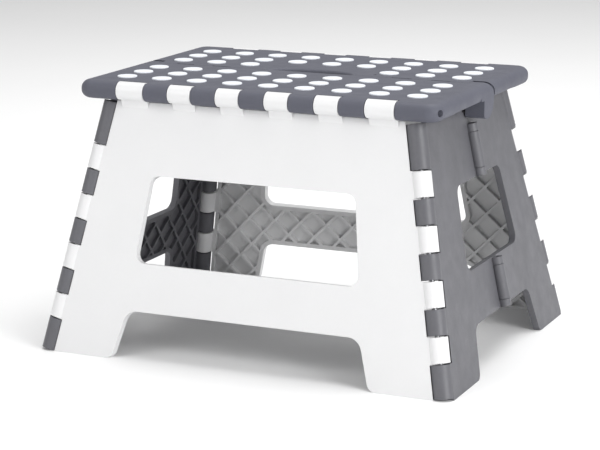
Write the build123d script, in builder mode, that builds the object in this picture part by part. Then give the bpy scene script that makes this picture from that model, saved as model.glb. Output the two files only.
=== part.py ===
from build123d import *
from math import asin, atan2, cos, degrees, hypot, radians, sin, sqrt, tan
import os

os.makedirs("parts", exist_ok=True)

# Folding step stool. X to the user's right, Y to the rear, Z up, origin on the floor below the centre.

# Hinge frame: every corner line and side fold line runs down from one of two points above the stool
APEX_X = 39.0
APEX_Z = 656.0
CORNER_X = 170.5
CORNER_Y = 134.5
FOLD_X = 181.7
TOP_HINGE_Y = 104.0
TOP_HINGE_Z = 211.8
CENTRE_HINGE_Z = 206.0

# Leg panels, front and rear
LEG_FOOT_Y = 141.1
LEG_SLOPE = 0.2051
LEG_THICK = 6.3
LEG_TOP_Z = 203.0
LEG_WINDOW_Z = (77.0, 146.0)
LEG_WINDOW_HALF = (97.0, 88.0)
ARM_Z = 198.0
LEG_CUT_Z = 39.0
LEG_CUT_HALF = (111.6, 100.6)

# Side panels, each in a front and a rear half
SIDE_FOOT_X = 178.9
SIDE_SLOPE = 0.2133
SIDE_THICK = 5.5
SIDE_TOP_Z = 201.0
SIDE_WINDOW_Z = (80.0, 145.3)
SIDE_WINDOW_HALF = (60.0, 50.0)
SIDE_CUT_Z = 39.5
SIDE_CUT_HALF = (75.0, 65.0)
SIDE_NOTCH_Z = 196.5
SIDE_NOTCH_HALF = 9.5

# Hinge barrels and pins
CORNER_R = 8.0
CORNER_GREY_Z = ((0.0, 25.5), (45.6, 65.7), (85.8, 105.9), (126.0, 146.1), (166.2, 201.0))
CORNER_WHITE_Z = ((25.5, 45.6), (65.7, 85.8), (105.9, 126.0), (146.1, 166.2))
FOLD_R = 5.0
FOLD_FRONT_Z = ((40.0, 46.0), (74.0, 80.0), (145.5, 152.0), (180.5, 187.0))
FOLD_REAR_Z = ((46.0, 74.0), (152.0, 180.5))
FOLD_PIN_Z = ((40.5, 79.5), (146.0, 186.5))
TOP_R = 7.4
TOP_WHITE_X = ((10.5, 31.5), (52.5, 73.5), (94.5, 119.5))
CENTRE_R = 7.5
CENTRE_FRONT_X = ((72.0, 89.5), (106.0, 122.5))
CENTRE_REAR_X = ((41.0, 72.0), (89.5, 106.0), (122.5, 138.0))
EAR_R = 14.6
EAR_SHUT = 2.5
EAR_X = (138.8, 155.0)
EAR_ROOM_X = 138.3
EAR_ROOM_R = 17.4
EAR_FRONT_Y = -8.0
PIN_R = 2.0
BORE_R = 2.06
OPEN_BORE_R = 3.0
PIN_RECESS_R = 2.7
PIN_RECESS = 5.0
GAP = 0.6
FOLD_GAP = 0.15
CORNER_ROOM = 0.9
OPEN_CORNER_ROOM = 1.4

# Top, in a front and a rear half
TOP_HALF_X = 155.0
TOP_Z = 219.0
TOP_LOW_Z = TOP_HINGE_Z - TOP_R
TOP_END_LOW_Z = 206.8
END_FULL_Y = 95.0
END_LOW_Y = 60.0
TOP_EDGE_Y = TOP_HINGE_Y + TOP_R
TOP_CORNER_R = 12.0
TOP_EDGE_R = 7.0
TOP_UNDER_R = 6.6
TOP_SCOOP_R = 8.2
SKIN = 2.8
WALL = 4.0
SEAM = 0.25

# Grip dots
DOT_R = 8.0
DOT_PROUD = 1.0
DOT_SUNK = 0.8
DOT_EDGE_R = 0.5
DOT_PITCH_X = 31.43
DOT_PITCH_Y = 27.33
DOT_COLUMNS = range(-4, 5)
DOT_ROWS = range(3)
DOT_FIRST_Y = {-1: 24.4, 1: 19.8}

# Hand opening in the rear half
HAND_HALF = 37.0
HAND_DEPTH = 17.0
HAND_RIM = 4.0
HAND_RIM_Z = 208.5
HAND_EDGE_R = 2.5
RIM_FIT = 0.05
VENT_X = 54.5
VENT_Y = 9.8
VENT_R = 1.5

# Ribs on the hidden side of the leg and side panels
RIB_PITCH = 18.0
RIB_WIDTH = 2.4
RIM_WIDTH = 4.0
LEG_POCKET = 3.6
SIDE_POCKET = 3.0

LEG_TILT = degrees(atan2(LEG_SLOPE, 1))
SIDE_TILT = degrees(atan2(SIDE_SLOPE, 1))
FAR = 400.0
DEEP = 30.0


def line_plane(foot_x, foot_y, z):
    """Plane square to a hinge line, at height z, facing up the line."""
    up = z / APEX_Z
    apex_x = APEX_X if foot_x > 0 else -APEX_X
    origin = (foot_x + (apex_x - foot_x) * up, foot_y * (1 - up), z)
    return Plane(origin=origin, z_dir=(apex_x - foot_x, -foot_y, APEX_Z))


def line_length(foot_x, foot_y, low, high):
    """Length along a hinge line between two heights."""
    run = hypot(abs(foot_x) - APEX_X, foot_y)
    return (high - low) * hypot(run, APEX_Z) / APEX_Z


def rod_on_line(foot_x, foot_y, low, high, radius, mode=Mode.ADD):
    """Round length of a hinge line, for a barrel, a pin, a bore or the room round a barrel."""
    with Locations(line_plane(foot_x, foot_y, low)):
        Cylinder(
            radius,
            line_length(foot_x, foot_y, low, high),
            align=(Align.CENTER, Align.CENTER, Align.MIN),
            mode=mode,
        )


def rod_along_x(low, high, y, z, radius, mode=Mode.ADD):
    """Round length parallel to X."""
    with Locations(Plane(origin=(low, y, z), z_dir=(1, 0, 0))):
        Cylinder(radius, high - low, align=(Align.CENTER, Align.CENTER, Align.MIN), mode=mode)


def block(x, y, z, mode=Mode.ADD):
    """Box between three pairs of limits."""
    with Locations(((x[0] + x[1]) / 2, (y[0] + y[1]) / 2, (z[0] + z[1]) / 2)):
        Box(x[1] - x[0], abs(y[1] - y[0]), z[1] - z[0], mode=mode)


def slab_outline(half_bottom, half_top, low, high, mode=Mode.ADD):
    """Symmetric trapezium between two heights."""
    Polygon((-half_bottom, low), (half_bottom, low), (half_top, high), (-half_top, high), align=None, mode=mode)


def diamond_bars(length, width):
    """Crossed bars at right angles to each other, both at 45 degrees to the panel."""
    count = int(length / RIB_PITCH)
    for turn in (45, -45):
        with Locations(Location((0, width / 2, 0), (0, 0, turn))):
            with GridLocations(1, RIB_PITCH, 1, 2 * (count // 2) + 1):
                Rectangle(2 * length, RIB_WIDTH, mode=Mode.SUBTRACT)


def both_ways(spans):
    """The spans and their mirror images about zero."""
    return tuple(spans) + tuple((-high, -low) for low, high in spans)


def shrunk(span, gap):
    """A span shortened by a gap at both ends."""
    return span[0] + gap, span[1] - gap


# Leg panels: a flat plate with a window and a foot cut-out, five-finger corners and arms to the top hinge
for end, way in (("front", -1), ("rear", 1)):
    leg_plane = Plane(
        origin=(0, way * LEG_FOOT_Y, 0),
        x_dir=(-way, 0, 0),
        z_dir=(0, way * cos(radians(LEG_TILT)), sin(radians(LEG_TILT))),
    )
    leg_rise = 1 / cos(radians(LEG_TILT))
    leg_top_half = CORNER_X + (APEX_X - CORNER_X) * LEG_TOP_Z / APEX_Z
    with BuildSketch() as leg_outline:
        slab_outline(CORNER_X, leg_top_half, 0, LEG_TOP_Z * leg_rise)
        slab_outline(*LEG_CUT_HALF, 0, LEG_CUT_Z * leg_rise, mode=Mode.SUBTRACT)
        fillet(leg_outline.vertices().group_by(Axis.Y)[1], 12)
        fillet(leg_outline.vertices().group_by(Axis.Y)[0].sort_by(Axis.X)[1:3], 8)
        with BuildSketch(mode=Mode.SUBTRACT) as leg_window:
            slab_outline(*LEG_WINDOW_HALF, LEG_WINDOW_Z[0] * leg_rise, LEG_WINDOW_Z[1] * leg_rise)
            fillet(leg_window.vertices(), 8)
    with BuildSketch() as leg_pockets:
        add(leg_outline.sketch)
        offset(amount=-RIM_WIDTH, kind=Kind.INTERSECTION)
        rib_half = (CORNER_X - CORNER_R - RIM_WIDTH, leg_top_half - CORNER_R - RIM_WIDTH)
        slab_outline(*rib_half, 0, (LEG_TOP_Z - 9) * leg_rise, mode=Mode.INTERSECT)
        diamond_bars(2 * CORNER_X, LEG_TOP_Z)
    with BuildPart() as leg:
        with BuildSketch(leg_plane):
            add(leg_outline.sketch)
        extrude(amount=-LEG_THICK)
        with BuildSketch(leg_plane.offset(-LEG_THICK)):
            add(leg_pockets.sketch)
        extrude(amount=LEG_POCKET, mode=Mode.SUBTRACT)
        for side in (-1, 1):
            open_corner = way == 1 and side == -1
            room = CORNER_R + (OPEN_CORNER_ROOM if open_corner else CORNER_ROOM)
            for low, high in CORNER_GREY_Z:
                grey_top = high if high < LEG_TOP_Z - 10 else high + 10
                rod_on_line(side * CORNER_X, way * CORNER_Y, low - 5 * (low == 0), grey_top, room, Mode.SUBTRACT)
            for low, high in CORNER_WHITE_Z:
                rod_on_line(side * CORNER_X, way * CORNER_Y, low + GAP, high - GAP, CORNER_R)
            bore = OPEN_BORE_R if open_corner else BORE_R
            rod_on_line(side * CORNER_X, way * CORNER_Y, -5, LEG_TOP_Z, bore, Mode.SUBTRACT)
        # The plate's top edge is scooped where the top's own barrels turn
        rod_along_x(-leg_top_half, leg_top_half, way * TOP_HINGE_Y, TOP_HINGE_Z, TOP_SCOOP_R, Mode.SUBTRACT)
        for low, high in both_ways(TOP_WHITE_X):
            with BuildSketch(Plane(origin=(low + GAP, 0, 0), x_dir=(0, way, 0), z_dir=(way, 0, 0))):
                with BuildLine():
                    Polyline(
                        (LEG_FOOT_Y - LEG_SLOPE * ARM_Z, ARM_Z),
                        (TOP_HINGE_Y - 1.2, TOP_HINGE_Z - TOP_R + 0.2),
                        (TOP_HINGE_Y, TOP_HINGE_Z),
                        (TOP_HINGE_Y - 6.7, TOP_HINGE_Z - 2.4),
                        (LEG_FOOT_Y - LEG_SLOPE * LEG_TOP_Z - 6.2, LEG_TOP_Z - 1),
                        (LEG_FOOT_Y - LEG_SLOPE * ARM_Z - 4, ARM_Z),
                        close=True,
                    )
                make_face()
            extrude(amount=way * (high - low - 2 * GAP))
            rod_along_x(low + GAP, high - GAP, way * TOP_HINGE_Y, TOP_HINGE_Z, TOP_R)
        rod_along_x(-TOP_HALF_X, TOP_HALF_X, way * TOP_HINGE_Y, TOP_HINGE_Z, BORE_R, Mode.SUBTRACT)
        block((-FAR, FAR), (-FAR, FAR), (-DEEP, 0), Mode.SUBTRACT)
    leg.part.label = f"{end}_leg_panel"
    export_step(leg.part, f"parts/{end}_leg_panel.step")

# Side panels: two halves a side, with a shared window, joined by barrels along the fold line
side_rise = 1 / cos(radians(SIDE_TILT))
side_top_half = CORNER_Y * (1 - SIDE_TOP_Z / APEX_Z)
for name, side in (("right", 1), ("left", -1)):
    side_plane = Plane(
        origin=(side * SIDE_FOOT_X, 0, 0),
        x_dir=(0, side, 0),
        z_dir=(side * cos(radians(SIDE_TILT)), 0, sin(radians(SIDE_TILT))),
    )
    with BuildSketch() as side_outline:
        slab_outline(CORNER_Y, side_top_half, 0, SIDE_TOP_Z * side_rise)
        slab_outline(*SIDE_CUT_HALF, 0, SIDE_CUT_Z * side_rise, mode=Mode.SUBTRACT)
        fillet(side_outline.vertices().group_by(Axis.Y)[1], 10)
        fillet(side_outline.vertices().group_by(Axis.Y)[0].sort_by(Axis.X)[1:3], 7)
        with BuildSketch(mode=Mode.SUBTRACT) as side_window:
            slab_outline(*SIDE_WINDOW_HALF, SIDE_WINDOW_Z[0] * side_rise, SIDE_WINDOW_Z[1] * side_rise)
            fillet(side_window.vertices(), 8)
        with Locations((0, (SIDE_NOTCH_Z + 20) * side_rise)):
            Rectangle(2 * SIDE_NOTCH_HALF, 40 * side_rise, mode=Mode.SUBTRACT)
    for end, way in (("front", -1), ("rear", 1)):
        own_z = FOLD_FRONT_Z if way == -1 else FOLD_REAR_Z
        other_z = FOLD_REAR_Z if way == -1 else FOLD_FRONT_Z
        open_corner = way == 1 and side == -1
        with BuildSketch() as half_outline:
            add(side_outline.sketch)
            with Locations((way * side * (SEAM + FAR / 2), 0)):
                Rectangle(FAR, FAR * 2, mode=Mode.INTERSECT)
        with BuildSketch() as half_pockets:
            add(half_outline.sketch)
            offset(amount=-RIM_WIDTH, kind=Kind.INTERSECTION)
            rib_half = (CORNER_Y - CORNER_R - RIM_WIDTH, side_top_half - CORNER_R - RIM_WIDTH)
            slab_outline(*rib_half, 0, SIDE_TOP_Z * side_rise, mode=Mode.INTERSECT)
            diamond_bars(2 * CORNER_Y, SIDE_TOP_Z)
        with BuildPart() as side_half:
            with BuildSketch(side_plane):
                add(half_outline.sketch)
            extrude(amount=-SIDE_THICK)
            with BuildSketch(side_plane.offset(-SIDE_THICK)):
                add(half_pockets.sketch)
            extrude(amount=SIDE_POCKET, mode=Mode.SUBTRACT)
            room = CORNER_R + (OPEN_CORNER_ROOM if open_corner else CORNER_ROOM)
            for low, high in CORNER_WHITE_Z:
                rod_on_line(side * CORNER_X, way * CORNER_Y, low, high, room, Mode.SUBTRACT)
            for low, high in CORNER_GREY_Z:
                rod_on_line(side * CORNER_X, way * CORNER_Y, low + GAP * (low > 0), high - GAP, CORNER_R)
            rod_on_line(side * CORNER_X, way * CORNER_Y, -5, LEG_TOP_Z + 5, BORE_R, Mode.SUBTRACT)
            for low, high in other_z:
                rod_on_line(side * FOLD_X, 0, low - FOLD_GAP, high + FOLD_GAP, FOLD_R + 0.35, Mode.SUBTRACT)
            for low, high in own_z:
                rod_on_line(side * FOLD_X, 0, low + FOLD_GAP, high - FOLD_GAP, FOLD_R)
            rod_on_line(side * FOLD_X, 0, 30, SIDE_TOP_Z, BORE_R, Mode.SUBTRACT)
            block((-FAR, FAR), (-FAR, FAR), (-DEEP, 0), Mode.SUBTRACT)
        side_half.part.label = f"{name}_{end}_side_panel"
        export_step(side_half.part, f"parts/{name}_{end}_side_panel.step")

# Ears on the front half's ends: the ends' rolled edge carried round the middle hinge
with BuildPart() as ears:
    for low, high in both_ways((EAR_X,)):
        with BuildSketch(Plane.XZ) as ear_profile:
            with Locations(((low + high) / 2, (TOP_Z + TOP_LOW_Z) / 2 - EAR_R / 2)):
                Rectangle(high - low, TOP_Z - TOP_LOW_Z + EAR_R)
            corner = ear_profile.vertices().group_by(Axis.Y)[-1].sort_by(Axis.X)
            fillet(corner[-1] if high > 0 else corner[0], TOP_EDGE_R)
        extrude(amount=EAR_R + 1, both=True)
    rod_along_x(-TOP_HALF_X, TOP_HALF_X, 0, CENTRE_HINGE_Z, EAR_R, Mode.INTERSECT)
    block((-FAR, FAR), (-FAR, EAR_FRONT_Y), (TOP_LOW_Z - FAR, TOP_END_LOW_Z), Mode.SUBTRACT)

# Top halves: a shell with rolled edges, hinge barrels along its outer edge and knuckles along the middle
for end, way in (("front", -1), ("rear", 1)):
    outer_y = way * TOP_EDGE_Y
    with BuildPart() as top:
        with BuildSketch(Plane.XY.offset(TOP_LOW_Z)) as top_plan:
            with Locations((0, way * (SEAM + TOP_EDGE_Y) / 2)):
                Rectangle(2 * TOP_HALF_X, TOP_EDGE_Y - SEAM)
            corners = top_plan.vertices().sort_by(Axis.Y)
            fillet(corners[:2] if way == -1 else corners[-2:], TOP_CORNER_R)
        extrude(amount=TOP_Z - TOP_LOW_Z)
        top_edges = top.faces().sort_by(Axis.Z)[-1].edges().sort_by(Axis.Y)
        fillet(top_edges[:-1] if way == -1 else top_edges[1:], TOP_EDGE_R)
        low_edges = top.faces().sort_by(Axis.Z)[0].edges().sort_by(Axis.Y)
        fillet(low_edges[:3] if way == -1 else low_edges[-3:], TOP_UNDER_R)
        # Room below the skin, in a main pocket and a pocket along the middle
        inner_y = sorted((way * 22.0, way * (TOP_HINGE_Y - TOP_R - 0.4)))
        block((-TOP_HALF_X + WALL, TOP_HALF_X - WALL), inner_y, (TOP_LOW_Z, TOP_Z - SKIN), Mode.SUBTRACT)
        middle_y = sorted((0, way * 18.5))
        block((-EAR_ROOM_X, EAR_ROOM_X), middle_y, (TOP_LOW_Z, TOP_Z - SKIN), Mode.SUBTRACT)
        # Each end gets shallower towards the middle
        with BuildSketch(Plane.YZ):
            Polygon(
                (0, TOP_LOW_Z - 1),
                (way * END_FULL_Y, TOP_LOW_Z - 1),
                (way * END_FULL_Y, TOP_LOW_Z),
                (way * END_LOW_Y, TOP_END_LOW_Z),
                (0, TOP_END_LOW_Z),
                align=None,
            )
        extrude(amount=TOP_HALF_X, both=True, mode=Mode.SUBTRACT)
        # Hinge barrels along the outer edge, and notches for the leg's arms
        for low, high in both_ways(TOP_WHITE_X):
            rod_along_x(low, high, way * TOP_HINGE_Y, TOP_HINGE_Z, TOP_R + 0.5, Mode.SUBTRACT)
            notch_y = sorted((way * TOP_HINGE_Y, way * (TOP_EDGE_Y + 1)))
            block((low, high), notch_y, (TOP_LOW_Z, TOP_Z), Mode.SUBTRACT)
            under_y = sorted((way * (TOP_HINGE_Y - TOP_R - 0.6), way * (TOP_EDGE_Y + 1)))
            block((low, high), under_y, (TOP_LOW_Z, TOP_HINGE_Z), Mode.SUBTRACT)
        rod_along_x(-TOP_HALF_X, TOP_HALF_X, way * TOP_HINGE_Y, TOP_HINGE_Z, BORE_R, Mode.SUBTRACT)
        for low, high in both_ways(((TOP_HALF_X - PIN_RECESS, TOP_HALF_X),)):
            rod_along_x(low, high, way * TOP_HINGE_Y, TOP_HINGE_Z, PIN_RECESS_R, Mode.SUBTRACT)
        if way == -1:
            for low, high in both_ways(CENTRE_FRONT_X):
                rod_along_x(low + GAP, high - GAP, 0, CENTRE_HINGE_Z, CENTRE_R)
                block((low + GAP, high - GAP), (-18.8, -5), (CENTRE_HINGE_Z - 2, TOP_Z - SKIN + 0.2))
                block((low + GAP, high - GAP), (-5.2, -SEAM), (CENTRE_HINGE_Z + 5, TOP_Z - SKIN + 0.2))
            add(ears.part)
            bore_x = TOP_HALF_X - EAR_SHUT
            rod_along_x(-bore_x, bore_x, 0, CENTRE_HINGE_Z, BORE_R, Mode.SUBTRACT)
        else:
            for low, high in both_ways(CENTRE_REAR_X):
                rod_along_x(low + GAP, high - GAP, 0, CENTRE_HINGE_Z, CENTRE_R)
                block((low + GAP, high - GAP), (5, 18.8), (CENTRE_HINGE_Z - 2, TOP_Z - SKIN + 0.2))
                block((low + GAP, high - GAP), (SEAM, 5.2), (CENTRE_HINGE_Z + 5, TOP_Z - SKIN + 0.2))
                block((low, high), (-4.0, 4.7), (TOP_LOW_Z - 10, CENTRE_HINGE_Z + 4.4), Mode.SUBTRACT)
            for low, high in both_ways(CENTRE_FRONT_X):
                block((low, high), (0, 2.2), (TOP_LOW_Z, TOP_Z), Mode.SUBTRACT)
            for low, high in both_ways(((EAR_ROOM_X, TOP_HALF_X),)):
                rod_along_x(low, high, 0, CENTRE_HINGE_Z, EAR_ROOM_R, Mode.SUBTRACT)
            # Room for the rim of the hand opening, and a small hole beside it
            with BuildSketch(Plane.XY.offset(TOP_LOW_Z)):
                Ellipse(HAND_HALF + HAND_RIM + RIM_FIT, HAND_DEPTH + HAND_RIM + RIM_FIT)
            extrude(amount=TOP_Z - TOP_LOW_Z, mode=Mode.SUBTRACT)
            with Locations((VENT_X, VENT_Y, TOP_Z - SKIN)):
                Cylinder(VENT_R, DEEP, mode=Mode.SUBTRACT)
        for row in DOT_ROWS:
            for column in DOT_COLUMNS:
                if way == 1 and row == 0 and abs(column) < 2:
                    continue
                dot_y = way * (DOT_FIRST_Y[way] + DOT_PITCH_Y * row)
                with Locations((DOT_PITCH_X * column, dot_y, TOP_Z - DOT_SUNK)):
                    Cylinder(
                        DOT_R + 0.05,
                        DEEP,
                        align=(Align.CENTER, Align.CENTER, Align.MIN),
                        mode=Mode.SUBTRACT,
                    )
    top.part.label = f"{end}_top_shell"
    export_step(top.part, f"parts/{end}_top_shell.step")

# Rim of the hand opening, rolled along its inner edge
with BuildPart() as hand_rim:
    with BuildSketch(Plane.XY.offset(HAND_RIM_Z)):
        Ellipse(HAND_HALF + HAND_RIM, HAND_DEPTH + HAND_RIM)
        Ellipse(HAND_HALF, HAND_DEPTH, mode=Mode.SUBTRACT)
        with Locations((0, SEAM + FAR / 2)):
            Rectangle(FAR, FAR, mode=Mode.INTERSECT)
    extrude(amount=TOP_Z - HAND_RIM_Z)
    top_curves = hand_rim.edges().group_by(Axis.Z)[-1].filter_by(GeomType.ELLIPSE)
    fillet(top_curves.sort_by(SortBy.LENGTH)[0], HAND_EDGE_R)
hand_rim.part.label = "hand_opening_rim"
export_step(hand_rim.part, "parts/hand_opening_rim.step")

# Round grip dots, let into the skin and standing a little proud
for end, way in (("front", -1), ("rear", 1)):
    with BuildPart() as dots:
        for row in DOT_ROWS:
            for column in DOT_COLUMNS:
                if way == 1 and row == 0 and abs(column) < 2:
                    continue
                dot_y = way * (DOT_FIRST_Y[way] + DOT_PITCH_Y * row)
                with Locations((DOT_PITCH_X * column, dot_y, TOP_Z - DOT_SUNK)):
                    Cylinder(DOT_R, DOT_SUNK + DOT_PROUD, align=(Align.CENTER, Align.CENTER, Align.MIN))
        fillet(dots.edges().group_by(Axis.Z)[-1], DOT_EDGE_R)
    dots.part.label = f"{end}_grip_dots"
    export_step(dots.part, f"parts/{end}_grip_dots.step")

# Steel pins: one through each top hinge, two along the middle, one a corner and two a side fold
for end, way in (("front", -1), ("rear", 1)):
    with BuildPart() as top_pin:
        rod_along_x(-TOP_HALF_X + PIN_RECESS, TOP_HALF_X - PIN_RECESS, way * TOP_HINGE_Y, TOP_HINGE_Z, PIN_R)
    top_pin.part.label = f"{end}_top_pin"
    export_step(top_pin.part, f"parts/{end}_top_pin.step")
for name, side in (("right", 1), ("left", -1)):
    with BuildPart() as centre_pin:
        low, high = sorted((side * (CENTRE_REAR_X[0][0] + 1), side * (TOP_HALF_X - EAR_SHUT - 0.5)))
        rod_along_x(low, high, 0, CENTRE_HINGE_Z, PIN_R)
    centre_pin.part.label = f"{name}_centre_pin"
    export_step(centre_pin.part, f"parts/{name}_centre_pin.step")
    for end, way in (("front", -1), ("rear", 1)):
        with BuildPart() as corner_pin:
            rod_on_line(side * CORNER_X, way * CORNER_Y, 1, CORNER_GREY_Z[-1][1] - 1, PIN_R)
        corner_pin.part.label = f"{name}_{end}_corner_pin"
        export_step(corner_pin.part, f"parts/{name}_{end}_corner_pin.step")
    for height, (low, high) in zip(("lower", "upper"), FOLD_PIN_Z):
        with BuildPart() as fold_pin:
            rod_on_line(side * FOLD_X, 0, low, high, PIN_R)
        fold_pin.part.label = f"{name}_{height}_fold_pin"
        export_step(fold_pin.part, f"parts/{name}_{height}_fold_pin.step")
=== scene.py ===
import math

import bpy
from mathutils import Matrix, Vector


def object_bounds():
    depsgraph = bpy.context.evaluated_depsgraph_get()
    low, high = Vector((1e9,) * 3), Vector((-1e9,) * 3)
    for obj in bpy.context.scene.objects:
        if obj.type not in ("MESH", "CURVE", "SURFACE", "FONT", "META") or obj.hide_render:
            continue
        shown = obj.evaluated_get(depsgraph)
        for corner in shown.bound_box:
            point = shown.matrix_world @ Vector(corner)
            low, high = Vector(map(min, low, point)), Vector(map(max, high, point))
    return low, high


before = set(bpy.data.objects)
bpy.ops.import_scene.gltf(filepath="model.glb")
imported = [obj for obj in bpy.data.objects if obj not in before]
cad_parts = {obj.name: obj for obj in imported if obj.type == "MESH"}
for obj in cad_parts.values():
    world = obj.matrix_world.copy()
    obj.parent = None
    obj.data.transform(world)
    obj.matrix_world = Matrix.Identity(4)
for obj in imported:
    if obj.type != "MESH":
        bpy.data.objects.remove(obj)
cad_box = [list(corner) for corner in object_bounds()]

ENDS = ("front", "rear")
SIDES = ("right", "left")

# Camera and studio, in metres and degrees
CAMERA_AT = Vector((0.6839, -1.5346, 0.4746))
CAMERA_AZIMUTH = 24.28
CAMERA_ELEVATION = 12.87
CAMERA_ROLL = -0.13
LENS_MM = 124.1
SENSOR_MM = 36.0
FLOOR_SIZE = 12.0
LIGHTS_AIM = Vector((0.0, 0.0, 0.12))
SURROUND_STRENGTH = 0.46

# Colours are linear
WHITE_PLASTIC = (0.76, 0.76, 0.765)
TOP_GREY = (0.105, 0.108, 0.134)
SIDE_GREY = (0.112, 0.112, 0.124)
DOT_WHITE = (0.80, 0.825, 0.87)
STEEL = (0.46, 0.46, 0.48)
PALE_FLOOR = (0.95, 0.95, 0.95)

# In every material a scale counts features per metre, a depth or radius is in metres, a strength
# or share runs from 0 to 1, and a shade multiplies a colour
BEVEL_SAMPLES = 6

# Moulded plastic
CLOUD_SCALE = 28.0
SPECK_SCALE = 420.0
SPECK_SHARE = 0.55
SPECK_MOTTLE = 1.6
FLOW_SCALE = 60.0
FLOW_STRETCH = (1.0, 1.0, 0.16)
FLOW_SHADE = 1.45
# These lighten the edges in patches: partly edge wear, partly a painted highlight that stands in
# for light on rounded edges
EDGE_WEAR_AND_HIGHLIGHT_RADIUS = 0.0009
EDGE_WEAR_AND_HIGHLIGHT_FACING = (0.80, 0.995)
EDGE_WEAR_AND_HIGHLIGHT_SCALE = 190.0
EDGE_WEAR_AND_HIGHLIGHT_LEAST = 0.15
EDGE_WEAR_AND_HIGHLIGHT_MOST = 0.75
SMEAR_SCALE = 75.0
SMEAR_GLOSSIER = 0.06
SMEAR_DULLER = 0.08
PLASTIC_EDGE_RADIUS = 0.0006
RIPPLE_SCALE = 46.0
RIPPLE_DEPTH = 0.00045
RIPPLE_STRENGTH = 0.35
GRAIN_SCALE = 1500.0
GRAIN_STRENGTH = 0.55

# Grip rubber
GRIME_SCALE = 160.0
GRIME_SHARE = 0.5
GRIME_SHADE = 0.90
PEBBLE_SCALE = 1100.0
# The next three darken the recesses between the pebbles, which is painted shade
PEBBLE_SHARE = 0.25
PEBBLE_SHADE = 0.82
PEBBLE_SPAN = (0.2, 0.8)
PEBBLE_DEPTH = 0.00025
PEBBLE_STRENGTH = 0.6
RUBBER_SMOOTHEST = 0.52
RUBBER_ROUGHEST = 0.70
RUBBER_EDGE_RADIUS = 0.0004

# Drawn steel
LINE_SCALE = 900.0
LINE_STRETCH = (0.05, 1.0, 1.0)
LINE_DEPTH = 0.0001
LINE_STRENGTH = 0.3
STAIN_SCALE = 120.0
STAIN_SHARE = 0.6
STAIN_SHADE = 0.7
STEEL_SMOOTHEST = 0.25
STEEL_ROUGHEST = 0.5

# Floor
HAZE_SCALE = 3.0
HAZE_SHADE = 0.985
FLOOR_ROUGHNESS = 0.8

# A colour Mix node shows its colours at these places in its sockets
MIX_FIRST = 6
MIX_SECOND = 7
MIX_RESULT = 2


def new_material(name):
    """A material with only its Principled shader wired to the output."""
    material = bpy.data.materials.new(name)
    material.use_nodes = True
    tree = material.node_tree
    return material, tree, tree.nodes["Principled BSDF"]


def feed(tree, socket, value):
    """An input linked to an output, or set to a plain value."""
    if isinstance(value, bpy.types.NodeSocket):
        tree.links.new(value, socket)
    else:
        socket.default_value = value


def add_node(tree, kind, settings=None, **inputs):
    """A shader node with its settings and inputs; an underscore stands for a space."""
    made = tree.nodes.new(kind)
    for key, value in (settings or {}).items():
        setattr(made, key, value)
    for key, value in inputs.items():
        feed(tree, made.inputs[key.replace("_", " ")], value)
    return made


def noise(tree, coords, scale, detail=4.0, roughness=0.55, stretch=(1, 1, 1)):
    """Noise in object space, drawn out along an axis whose stretch is below 1."""
    mapping = add_node(tree, "ShaderNodeMapping", Vector=coords, Scale=stretch)
    made = add_node(
        tree,
        "ShaderNodeTexNoise",
        Vector=mapping.outputs[0],
        Scale=scale,
        Detail=detail,
        Roughness=roughness,
    )
    return made.outputs["Fac"]


def ranged(tree, value, low, high, source=(0.3, 0.7)):
    """A value moved from the source range to low and high."""
    source_low, source_high = source
    made = add_node(
        tree,
        "ShaderNodeMapRange",
        Value=value,
        From_Min=source_low,
        From_Max=source_high,
        To_Min=low,
        To_Max=high,
    )
    return made.outputs[0]


def mixed(tree, factor, first, second):
    """Two colours, each a socket or a tuple, mixed by a factor."""
    made = add_node(tree, "ShaderNodeMix", {"data_type": "RGBA"}, Factor=factor)
    for place, value in ((MIX_FIRST, first), (MIX_SECOND, second)):
        colour = (*value, 1.0) if isinstance(value, tuple) else value
        feed(tree, made.inputs[place], colour)
    return made.outputs[MIX_RESULT]


def combined(tree, kind, operation, first, second):
    """The value that a maths node makes of two sockets."""
    made = add_node(tree, kind, {"operation": operation})
    tree.links.new(first, made.inputs[0])
    tree.links.new(second, made.inputs[1])
    return made.outputs["Value"]


def rounded_normal(tree, radius):
    """The surface direction with every edge rounded off."""
    made = add_node(tree, "ShaderNodeBevel", {"samples": BEVEL_SAMPLES}, Radius=radius)
    return made.outputs[0]


def edge_mask(tree, radius):
    """1 along outer and inner edges, 0 on flats."""
    soft = rounded_normal(tree, radius)
    true = add_node(tree, "ShaderNodeNewGeometry").outputs["Normal"]
    facing = combined(tree, "ShaderNodeVectorMath", "DOT_PRODUCT", soft, true)
    return ranged(tree, facing, 1.0, 0.0, source=EDGE_WEAR_AND_HIGHLIGHT_FACING)


def scaled(colour, factor):
    """A colour made lighter or darker."""
    return tuple(min(1.0, part * factor) for part in colour)


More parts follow.
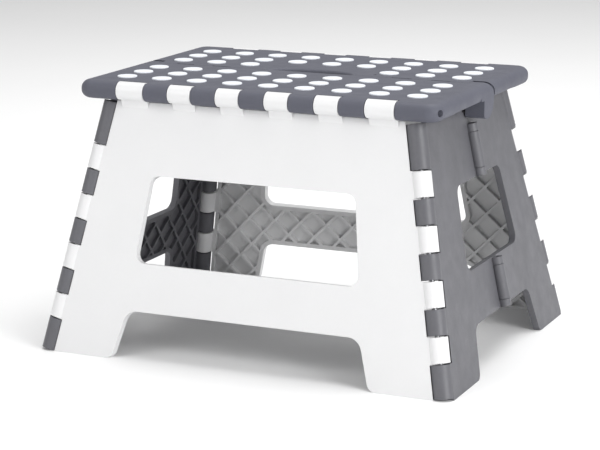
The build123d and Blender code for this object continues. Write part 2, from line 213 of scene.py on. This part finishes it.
def moulded_plastic(name, colour, rough, mottle, grain, streaks=0.0, edge=1.25, specular=0.5):
    """Injection-moulded plastic: cloudy colour, fine grain, flow streaks along z, and lighter edges
    that are partly edge wear and partly a painted highlight.
    """
    material, tree, shader = new_material(name)
    coords = add_node(tree, "ShaderNodeTexCoord").outputs["Object"]
    dark, light = scaled(colour, 1 - mottle), scaled(colour, 1 + mottle)
    cloud = noise(tree, coords, CLOUD_SCALE, detail=5.0)
    base = mixed(tree, ranged(tree, cloud, 0.0, 1.0), dark, light)
    speck = noise(tree, coords, SPECK_SCALE, detail=3.0, roughness=0.7)
    speck_shade = scaled(colour, 1 - SPECK_MOTTLE * mottle)
    base = mixed(tree, ranged(tree, speck, 0.0, SPECK_SHARE), base, speck_shade)
    if streaks:
        flow = noise(tree, coords, FLOW_SCALE, detail=6.0, roughness=0.75, stretch=FLOW_STRETCH)
        base = mixed(tree, ranged(tree, flow, 0.0, streaks), base, scaled(colour, FLOW_SHADE))
    # Painted highlight with edge wear: the edges are made lighter in patches
    edge_wear_and_highlight_mask = edge_mask(tree, EDGE_WEAR_AND_HIGHLIGHT_RADIUS)
    patchy = ranged(tree, noise(tree, coords, EDGE_WEAR_AND_HIGHLIGHT_SCALE), EDGE_WEAR_AND_HIGHLIGHT_LEAST, EDGE_WEAR_AND_HIGHLIGHT_MOST)
    patchy_wear_and_highlight = combined(tree, "ShaderNodeMath", "MULTIPLY", edge_wear_and_highlight_mask, patchy)
    base = mixed(tree, patchy_wear_and_highlight, base, scaled(colour, edge))
    feed(tree, shader.inputs["Base Color"], base)
    smear = noise(tree, coords, SMEAR_SCALE)
    dullness = ranged(tree, smear, rough - SMEAR_GLOSSIER, rough + SMEAR_DULLER)
    feed(tree, shader.inputs["Roughness"], dullness)
    feed(tree, shader.inputs["Specular IOR Level"], specular)
    ripple = add_node(
        tree,
        "ShaderNodeBump",
        Strength=RIPPLE_STRENGTH,
        Distance=RIPPLE_DEPTH,
        Height=noise(tree, coords, RIPPLE_SCALE, detail=2.0),
        Normal=rounded_normal(tree, PLASTIC_EDGE_RADIUS),
    )
    bump = add_node(
        tree,
        "ShaderNodeBump",
        Strength=GRAIN_STRENGTH,
        Distance=grain,
        Height=noise(tree, coords, GRAIN_SCALE, detail=2.0),
        Normal=ripple.outputs[0],
    )
    feed(tree, shader.inputs["Normal"], bump.outputs[0])
    return material


def grip_rubber(name, colour):
    """Soft white rubber: a pebbled face with painted shade in its recesses, patchy grime and a matt
    sheen.
    """
    material, tree, shader = new_material(name)
    coords = add_node(tree, "ShaderNodeTexCoord").outputs["Object"]
    pebble_node = add_node(tree, "ShaderNodeTexVoronoi", Vector=coords, Scale=PEBBLE_SCALE)
    pebble = pebble_node.outputs["Distance"]
    grime = noise(tree, coords, GRIME_SCALE, detail=5.0, roughness=0.65)
    base = mixed(tree, ranged(tree, grime, 0.0, GRIME_SHARE), colour, scaled(colour, GRIME_SHADE))
    # Painted shade: the recesses between the pebbles are darkened
    painted_recess_shade = ranged(tree, pebble, 0.0, PEBBLE_SHARE, source=PEBBLE_SPAN)
    base = mixed(tree, painted_recess_shade, base, scaled(colour, PEBBLE_SHADE))
    feed(tree, shader.inputs["Base Color"], base)
    sheen = ranged(tree, grime, RUBBER_SMOOTHEST, RUBBER_ROUGHEST)
    feed(tree, shader.inputs["Roughness"], sheen)
    bump = add_node(
        tree,
        "ShaderNodeBump",
        {"invert": True},
        Strength=PEBBLE_STRENGTH,
        Distance=PEBBLE_DEPTH,
        Height=pebble,
        Normal=rounded_normal(tree, RUBBER_EDGE_RADIUS),
    )
    feed(tree, shader.inputs["Normal"], bump.outputs[0])
    return material


def drawn_steel(name, colour):
    """Drawn wire: fine lines along x, the length of the top's pins, and uneven polish."""
    material, tree, shader = new_material(name)
    feed(tree, shader.inputs["Metallic"], 1.0)
    coords = add_node(tree, "ShaderNodeTexCoord").outputs["Object"]
    lines = noise(tree, coords, LINE_SCALE, roughness=0.8, stretch=LINE_STRETCH)
    stain = noise(tree, coords, STAIN_SCALE)
    base = mixed(tree, ranged(tree, stain, 0.0, STAIN_SHARE), colour, scaled(colour, STAIN_SHADE))
    feed(tree, shader.inputs["Base Color"], base)
    polish = ranged(tree, lines, STEEL_SMOOTHEST, STEEL_ROUGHEST)
    feed(tree, shader.inputs["Roughness"], polish)
    bump = add_node(
        tree, "ShaderNodeBump", Strength=LINE_STRENGTH, Distance=LINE_DEPTH, Height=lines
    )
    feed(tree, shader.inputs["Normal"], bump.outputs[0])
    return material


def paint(material, *nodes):
    """The material on every slot of these CAD nodes."""
    for name in nodes:
        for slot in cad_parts[name].material_slots:
            slot.link = "OBJECT"
            slot.material = material


def soft_box(name, place, width, watts):
    """A square studio light turned to face the stool."""
    lamp = bpy.data.lights.new(name, "AREA")
    lamp.size = width
    lamp.energy = watts
    made = bpy.data.objects.new(name, lamp)
    made.location = place
    made.rotation_euler = (LIGHTS_AIM - Vector(place)).to_track_quat("-Z", "Y").to_euler()
    bpy.context.collection.objects.link(made)
    return made


def make_floor():
    """Plain pale floor below the feet."""
    bpy.ops.mesh.primitive_plane_add(size=FLOOR_SIZE, location=(0, 0, cad_box[0][2]))
    floor = bpy.context.object
    floor.name = "floor"
    material, tree, shader = new_material("pale_floor")
    coords = add_node(tree, "ShaderNodeTexCoord").outputs["Object"]
    haze = ranged(tree, noise(tree, coords, HAZE_SCALE), 0.0, 1.0)
    base = mixed(tree, haze, PALE_FLOOR, scaled(PALE_FLOOR, HAZE_SHADE))
    feed(tree, shader.inputs["Base Color"], base)
    feed(tree, shader.inputs["Roughness"], FLOOR_ROUGHNESS)
    floor.data.materials.append(material)


def make_lights():
    """A key at the front left, a stronger fill at the right, a top light and a white surround."""
    soft_box("key", place=(-1.3, -2.1, 1.5), width=1.5, watts=18)
    soft_box("fill", place=(2.2, -0.9, 0.9), width=1.2, watts=37)
    soft_box("overhead", place=(0.2, 0.5, 2.3), width=2.0, watts=42)
    world = bpy.data.worlds.new("studio")
    world.use_nodes = True
    surround = world.node_tree.nodes["Background"]
    surround.inputs["Color"].default_value = (1, 1, 1, 1)
    surround.inputs["Strength"].default_value = SURROUND_STRENGTH
    bpy.context.scene.world = world
    bpy.context.scene.view_settings.view_transform = "Standard"


def make_camera():
    """Camera at the photograph's viewing angle."""
    azimuth, elevation = math.radians(CAMERA_AZIMUTH), math.radians(CAMERA_ELEVATION)
    forward = Vector(
        (
            -math.sin(azimuth) * math.cos(elevation),
            math.cos(azimuth) * math.cos(elevation),
            -math.sin(elevation),
        )
    )
    level = forward.to_track_quat("-Z", "Y").to_matrix().to_4x4()
    roll = Matrix.Rotation(math.radians(CAMERA_ROLL), 4, "Z")
    data = bpy.data.cameras.new("camera")
    data.lens = LENS_MM
    data.sensor_width = SENSOR_MM
    made = bpy.data.objects.new("camera", data)
    made.matrix_world = Matrix.Translation(CAMERA_AT) @ level @ roll
    bpy.context.collection.objects.link(made)
    bpy.context.scene.camera = made


paint(
    moulded_plastic(
        "white_moulded", WHITE_PLASTIC, rough=0.34, mottle=0.012, grain=0.00006, edge=1.15
    ),
    *(f"{end}_leg_panel" for end in ENDS),
)
paint(
    moulded_plastic("top_moulded", TOP_GREY, rough=0.55, mottle=0.05, grain=0.0001, specular=0.25),
    *(f"{end}_top_shell" for end in ENDS),
    "hand_opening_rim",
)
paint(
    moulded_plastic("side_moulded", SIDE_GREY, rough=0.44, mottle=0.10, grain=0.0002, streaks=0.35),
    *(f"{side}_{end}_side_panel" for side in SIDES for end in ENDS),
)
paint(grip_rubber("dot_rubber", DOT_WHITE), *(f"{end}_grip_dots" for end in ENDS))
paint(
    drawn_steel("pin_steel", STEEL),
    *(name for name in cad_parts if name.endswith("_pin")),
)

make_floor()
make_lights()
make_camera()
